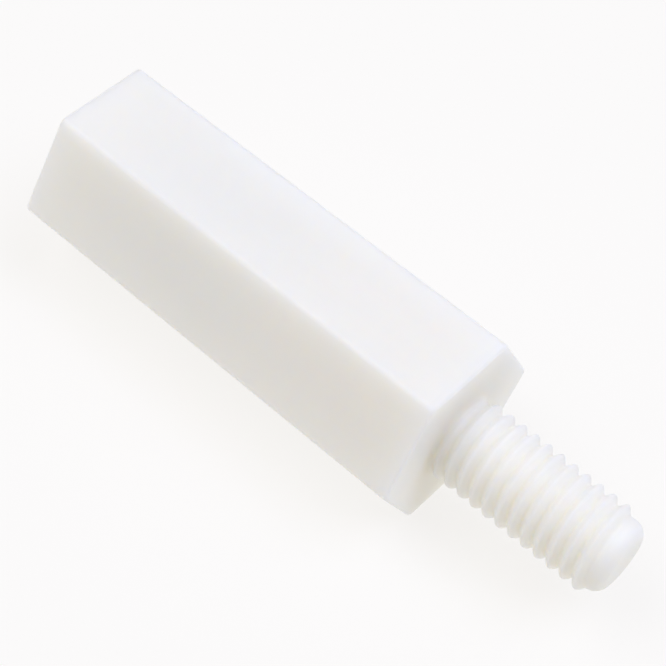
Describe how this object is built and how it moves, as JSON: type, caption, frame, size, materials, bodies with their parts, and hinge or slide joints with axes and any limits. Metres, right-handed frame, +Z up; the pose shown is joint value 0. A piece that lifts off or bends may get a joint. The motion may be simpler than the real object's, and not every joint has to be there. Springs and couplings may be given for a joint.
{
  "type": "hex standoff",
  "caption": "Male-female hex standoff of white nylon: hexagonal body, threaded stud with a rounded nose at one end, blind tapped hole at the other.",
  "frame": {"origin": "on the surface the standoff lies on, under the middle of its overall length and width", "axes": "+X along the axis towards the tip of the threaded stud, +Z up, square to the flat it lies on"},
  "size_m": [0.0226, 0.0068, 0.006],
  "materials": {
    "nylon": "smooth moulded natural nylon, slightly translucent, satin"
  },
  "bodies": {
    "root": {"standoff": "nylon"}
  },
  "joints": []
}
